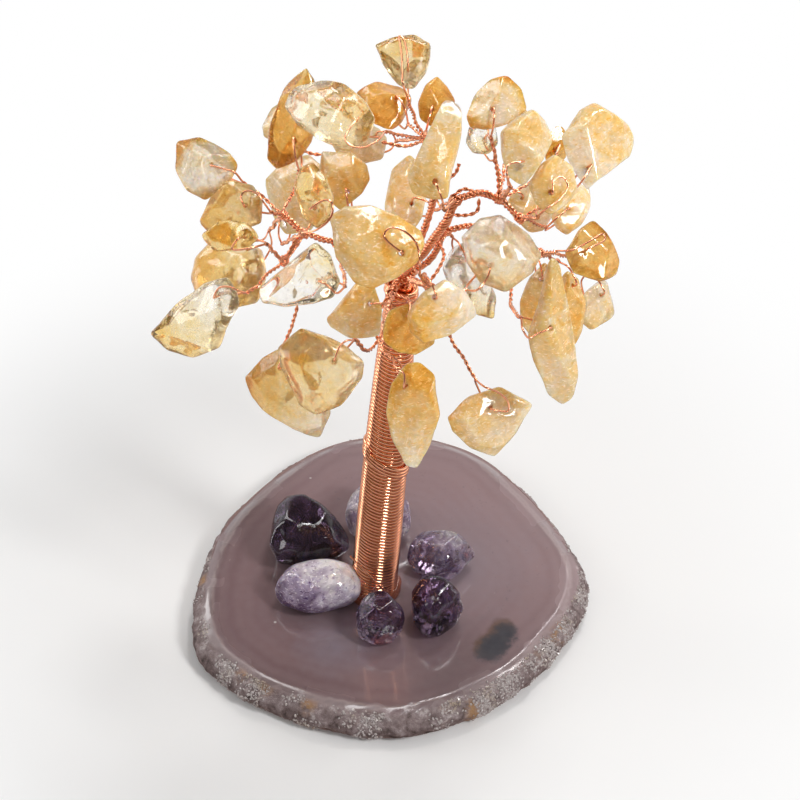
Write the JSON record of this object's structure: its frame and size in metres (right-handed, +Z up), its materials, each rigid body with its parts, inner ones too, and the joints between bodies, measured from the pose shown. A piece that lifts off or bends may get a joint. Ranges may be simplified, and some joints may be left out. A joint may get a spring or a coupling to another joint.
{
  "type": "gemstone tree ornament",
  "caption": "Small tree of twisted copper wire carrying tumbled citrine chips, wire-wound trunk glued upright on a polished agate slice with amethysts at its foot.",
  "frame": {"origin": "middle of the agate slice's flat underside", "axes": "+Z up along the tree, +Y away from the viewer of the picture, +X to the viewer's right"},
  "size_m": [0.078, 0.0772, 0.1249],
  "materials": {
    "citrine": "tumbled, polished, cloudy to clear yellow quartz",
    "amethyst": "tumbled, polished, dark purple quartz",
    "agate": "polished face, rough crystal-speckled rim",
    "copper": "bright drawn copper wire",
    "glue": "clear hardened glue"
  },
  "bodies": {
    "tree": {"agate_slice": "agate", "foot_glue": "glue", "trunk_core": "copper", "lower_winding": "copper", "upper_winding": "copper", "top_binding": "copper", "amethyst_back_left": "amethyst", "amethyst_behind_trunk": "amethyst", "amethyst_back_right": "amethyst", "amethyst_front_right": "amethyst", "amethyst_front": "amethyst", "amethyst_front_left": "amethyst", "left_limb": "copper", "upper_limb": "copper", "right_limb": "copper", "far_right_limb": "copper", "front_limb": "copper", "lower_limb": "copper"},
    "citrine_far_left": {"citrine_far_left": "citrine"},
    "citrine_left_yellow": {"citrine_left_yellow": "citrine"},
    "citrine_left_sparkle": {"citrine_left_sparkle": "citrine"},
    "citrine_left_back": {"citrine_left_back": "citrine"},
    "citrine_lower_left": {"citrine_lower_left": "citrine"},
    "citrine_upper_left": {"citrine_upper_left": "citrine"},
    "citrine_top_clear": {"citrine_top_clear": "citrine"},
    "citrine_back_one": {"citrine_back_one": "citrine"},
    "citrine_back_two": {"citrine_back_two": "citrine"},
    "citrine_top_amber": {"citrine_top_amber": "citrine"},
    "citrine_inner_amber": {"citrine_inner_amber": "citrine"},
    "citrine_left_looped": {"citrine_left_looped": "citrine"},
    "citrine_pale_back": {"citrine_pale_back": "citrine"},
    "citrine_front_large": {"citrine_front_large": "citrine"},
    "citrine_front_clear": {"citrine_front_clear": "citrine"},
    "citrine_under_amber": {"citrine_under_amber": "citrine"},
    "citrine_under_back": {"citrine_under_back": "citrine"},
    "citrine_barrel": {"citrine_barrel": "citrine"},
    "citrine_hanging_middle": {"citrine_hanging_middle": "citrine"},
    "citrine_hanging_right": {"citrine_hanging_right": "citrine"},
    "citrine_lower_front": {"citrine_lower_front": "citrine"},
    "citrine_lower_back": {"citrine_lower_back": "citrine"},
    "citrine_crown": {"citrine_crown": "citrine"},
    "citrine_small_dark": {"citrine_small_dark": "citrine"},
    "citrine_front_club": {"citrine_front_club": "citrine"},
    "citrine_behind_club": {"citrine_behind_club": "citrine"},
    "citrine_top_right": {"citrine_top_right": "citrine"},
    "citrine_clear_back": {"citrine_clear_back": "citrine"},
    "citrine_right_upper": {"citrine_right_upper": "citrine"},
    "citrine_small_back": {"citrine_small_back": "citrine"},
    "citrine_small_amber": {"citrine_small_amber": "citrine"},
    "citrine_right_slab": {"citrine_right_slab": "citrine"},
    "citrine_right_front": {"citrine_right_front": "citrine"},
    "citrine_right_behind": {"citrine_right_behind": "citrine"},
    "citrine_pale_middle": {"citrine_pale_middle": "citrine"},
    "citrine_round_front": {"citrine_round_front": "citrine"},
    "citrine_grey_behind": {"citrine_grey_behind": "citrine"},
    "citrine_prism": {"citrine_prism": "citrine"},
    "citrine_prism_left": {"citrine_prism_left": "citrine"},
    "citrine_prism_right": {"citrine_prism_right": "citrine"},
    "citrine_speckled": {"citrine_speckled": "citrine"},
    "citrine_right_amber": {"citrine_right_amber": "citrine"}
  },
  "joints": [
    {"name": "far_left_swing", "type": "hinge", "parent": "tree", "child": "citrine_far_left", "pos_m": [-0.02725, -0.00541, 0.10168], "axis": [-0.3214, -0.5567, 0.766], "range_deg": [-12, 12]},
    {"name": "left_yellow_swing", "type": "hinge", "parent": "tree", "child": "citrine_left_yellow", "pos_m": [-0.02182, -0.0133, 0.10007], "axis": [-0.2988, -0.6409, 0.7071], "range_deg": [-8, 8]},
    {"name": "left_sparkle_swing", "type": "hinge", "parent": "tree", "child": "citrine_left_sparkle", "pos_m": [-0.0221, -0.02014, 0.09943], "axis": [-0.4096, -0.7094, 0.5736], "range_deg": [-8, 8]},
    {"name": "left_back_swing", "type": "hinge", "parent": "tree", "child": "citrine_left_back", "pos_m": [-0.02361, 0.00915, 0.07336], "axis": [-0.433, -0.25, 0.866], "range_deg": [-8, 8]},
    {"name": "lower_left_swing", "type": "hinge", "parent": "tree", "child": "citrine_lower_left", "pos_m": [-0.02639, -0.01798, 0.08611], "axis": [-0.433, -0.75, 0.5], "range_deg": [-15, 15]},
    {"name": "upper_left_swing", "type": "hinge", "parent": "tree", "child": "citrine_upper_left", "pos_m": [-0.01428, -0.00409, 0.10596], "axis": [-0.171, -0.4698, 0.866], "range_deg": [-8, 8]},
    {"name": "top_clear_swing", "type": "hinge", "parent": "tree", "child": "citrine_top_clear", "pos_m": [-0.00459, -0.0108, 0.11383], "axis": [-0.0436, -0.4981, 0.866], "range_deg": [-8, 8]},
    {"name": "back_one_swing", "type": "hinge", "parent": "tree", "child": "citrine_back_one", "pos_m": [-0.0167, 0.0131, 0.09692], "axis": [-0.0711, -0.1954, 0.9781], "range_deg": [-8, 8]},
    {"name": "back_two_swing", "type": "hinge", "parent": "tree", "child": "citrine_back_two", "pos_m": [-0.00218, 0.01214, 0.09456], "axis": [0.0711, -0.1954, 0.9781], "range_deg": [-8, 8]},
    {"name": "top_amber_swing", "type": "hinge", "parent": "tree", "child": "citrine_top_amber", "pos_m": [0.00119, 0.00696, 0.10547], "axis": [0.0449, -0.2549, 0.9659], "range_deg": [-8, 8]},
    {"name": "inner_amber_swing", "type": "hinge", "parent": "tree", "child": "citrine_inner_amber", "pos_m": [-0.00621, -0.00927, 0.1006], "axis": [-0.1228, -0.6964, 0.7071], "range_deg": [-8, 8]},
    {"name": "left_looped_swing", "type": "hinge", "parent": "tree", "child": "citrine_left_looped", "pos_m": [-0.01088, -0.02218, 0.10672], "axis": [-0.1983, -0.7399, 0.6428], "range_deg": [-8, 8]},
    {"name": "pale_back_swing", "type": "hinge", "parent": "tree", "child": "citrine_pale_back", "pos_m": [-0.01749, 0.00942, 0.08008], "axis": [-0.3078, -0.5332, 0.788], "range_deg": [-8, 8]},
    {"name": "front_large_swing", "type": "hinge", "parent": "tree", "child": "citrine_front_large", "pos_m": [0.00215, -0.02771, 0.1026], "axis": [0, -0.766, 0.6428], "range_deg": [-12, 12]},
    {"name": "front_clear_swing", "type": "hinge", "parent": "tree", "child": "citrine_front_clear", "pos_m": [-0.00991, -0.02751, 0.09703], "axis": [-0.212, -0.7912, 0.5736], "range_deg": [-12, 12]},
    {"name": "under_amber_swing", "type": "hinge", "parent": "tree", "child": "citrine_under_amber", "pos_m": [-0.00269, -0.01509, 0.08209], "axis": [-0.0668, -0.7631, 0.6428], "range_deg": [-8, 8]},
    {"name": "under_back_swing", "type": "hinge", "parent": "tree", "child": "citrine_under_back", "pos_m": [0.00315, -0.01161, 0.07667], "axis": [0.1983, -0.7399, 0.6428], "range_deg": [-8, 8]},
    {"name": "barrel_swing", "type": "hinge", "parent": "tree", "child": "citrine_barrel", "pos_m": [0.00711, -0.02564, 0.09196], "axis": [0.212, -0.7912, 0.5736], "range_deg": [-8, 8]},
    {"name": "hanging_middle_swing", "type": "hinge", "parent": "tree", "child": "citrine_hanging_middle", "pos_m": [0.00297, -0.02516, 0.07373], "axis": [-0.0819, -0.9361, 0.342], "range_deg": [-15, 15]},
    {"name": "hanging_right_swing", "type": "hinge", "parent": "tree", "child": "citrine_hanging_right", "pos_m": [0.01648, -0.02155, 0.06591], "axis": [0.2432, -0.9077, 0.342], "range_deg": [-15, 15]},
    {"name": "lower_front_swing", "type": "hinge", "parent": "tree", "child": "citrine_lower_front", "pos_m": [-0.00774, -0.02837, 0.08224], "axis": [-0.2346, -0.8754, 0.4226], "range_deg": [-15, 15]},
    {"name": "lower_back_swing", "type": "hinge", "parent": "tree", "child": "citrine_lower_back", "pos_m": [-0.01718, -0.01603, 0.06961], "axis": [-0.31, -0.8517, 0.4226], "range_deg": [-15, 15]},
    {"name": "crown_swing", "type": "hinge", "parent": "tree", "child": "citrine_crown", "pos_m": [0.00322, -0.00639, 0.12072], "axis": [0, -0.5, 0.866], "range_deg": [-12, 12]},
    {"name": "small_dark_swing", "type": "hinge", "parent": "tree", "child": "citrine_small_dark", "pos_m": [0.00697, 0.00341, 0.10673], "axis": [0.1094, -0.4082, 0.9063], "range_deg": [-8, 8]},
    {"name": "front_club_swing", "type": "hinge", "parent": "tree", "child": "citrine_front_club", "pos_m": [0.00718, -0.01868, 0.10827], "axis": [0.056, -0.6403, 0.766], "range_deg": [-8, 8]},
    {"name": "behind_club_swing", "type": "hinge", "parent": "tree", "child": "citrine_behind_club", "pos_m": [0.00402, 0.00624, 0.08586], "axis": [0, -0.342, 0.9397], "range_deg": [-8, 8]},
    {"name": "top_right_swing", "type": "hinge", "parent": "tree", "child": "citrine_top_right", "pos_m": [0.01621, -0.00427, 0.11196], "axis": [0.1485, -0.554, 0.8192], "range_deg": [-8, 8]},
    {"name": "clear_back_swing", "type": "hinge", "parent": "tree", "child": "citrine_clear_back", "pos_m": [0.0156, 0.00286, 0.10167], "axis": [0.171, -0.4698, 0.866], "range_deg": [-8, 8]},
    {"name": "right_upper_swing", "type": "hinge", "parent": "tree", "child": "citrine_right_upper", "pos_m": [0.01989, -0.01745, 0.11167], "axis": [0.2988, -0.6409, 0.7071], "range_deg": [-8, 8]},
    {"name": "small_back_swing", "type": "hinge", "parent": "tree", "child": "citrine_small_back", "pos_m": [0.0208, 0.01082, 0.10088], "axis": [0.1294, -0.2241, 0.9659], "range_deg": [-8, 8]},
    {"name": "small_amber_swing", "type": "hinge", "parent": "tree", "child": "citrine_small_amber", "pos_m": [0.02733, 0.00638, 0.09721], "axis": [0.383, -0.3214, 0.866], "range_deg": [-8, 8]},
    {"name": "right_slab_swing", "type": "hinge", "parent": "tree", "child": "citrine_right_slab", "pos_m": [0.0316, -0.00355, 0.10053], "axis": [0.3687, -0.5265, 0.766], "range_deg": [-8, 8]},
    {"name": "right_front_swing", "type": "hinge", "parent": "tree", "child": "citrine_right_front", "pos_m": [0.02469, -0.01759, 0.10615], "axis": [0.262, -0.7198, 0.6428], "range_deg": [-8, 8]},
    {"name": "right_behind_swing", "type": "hinge", "parent": "tree", "child": "citrine_right_behind", "pos_m": [0.02923, 0.00181, 0.08731], "axis": [0.433, -0.25, 0.866], "range_deg": [-8, 8]},
    {"name": "pale_middle_swing", "type": "hinge", "parent": "tree", "child": "citrine_pale_middle", "pos_m": [0.02225, 0.00773, 0.08537], "axis": [0.25, -0.433, 0.866], "range_deg": [-8, 8]},
    {"name": "round_front_swing", "type": "hinge", "parent": "tree", "child": "citrine_round_front", "pos_m": [0.01559, -0.02049, 0.0938], "axis": [0.1983, -0.7399, 0.6428], "range_deg": [-8, 8]},
    {"name": "grey_behind_swing", "type": "hinge", "parent": "tree", "child": "citrine_grey_behind", "pos_m": [0.01241, -0.0047, 0.08253], "axis": [0.262, -0.7198, 0.6428], "range_deg": [-8, 8]},
    {"name": "prism_swing", "type": "hinge", "parent": "tree", "child": "citrine_prism", "pos_m": [0.02485, -0.02419, 0.08529], "axis": [0.383, -0.8214, 0.4226], "range_deg": [-8, 8]},
    {"name": "prism_left_swing", "type": "hinge", "parent": "tree", "child": "citrine_prism_left", "pos_m": [0.02572, 0.00029, 0.07493], "axis": [0.1422, -0.8067, 0.5736], "range_deg": [-8, 8]},
    {"name": "prism_right_swing", "type": "hinge", "parent": "tree", "child": "citrine_prism_right", "pos_m": [0.0309, 0.00375, 0.0704], "axis": [0.5792, -0.5792, 0.5736], "range_deg": [-8, 8]},
    {"name": "speckled_swing", "type": "hinge", "parent": "tree", "child": "citrine_speckled", "pos_m": [0.03652, 0.00928, 0.06366], "axis": [0.5868, -0.4924, 0.6428], "range_deg": [-8, 8]},
    {"name": "right_amber_swing", "type": "hinge", "parent": "tree", "child": "citrine_right_amber", "pos_m": [0.03153, -0.00864, 0.0877], "axis": [0.4056, -0.5792, 0.7071], "range_deg": [-8, 8]}
  ]
}
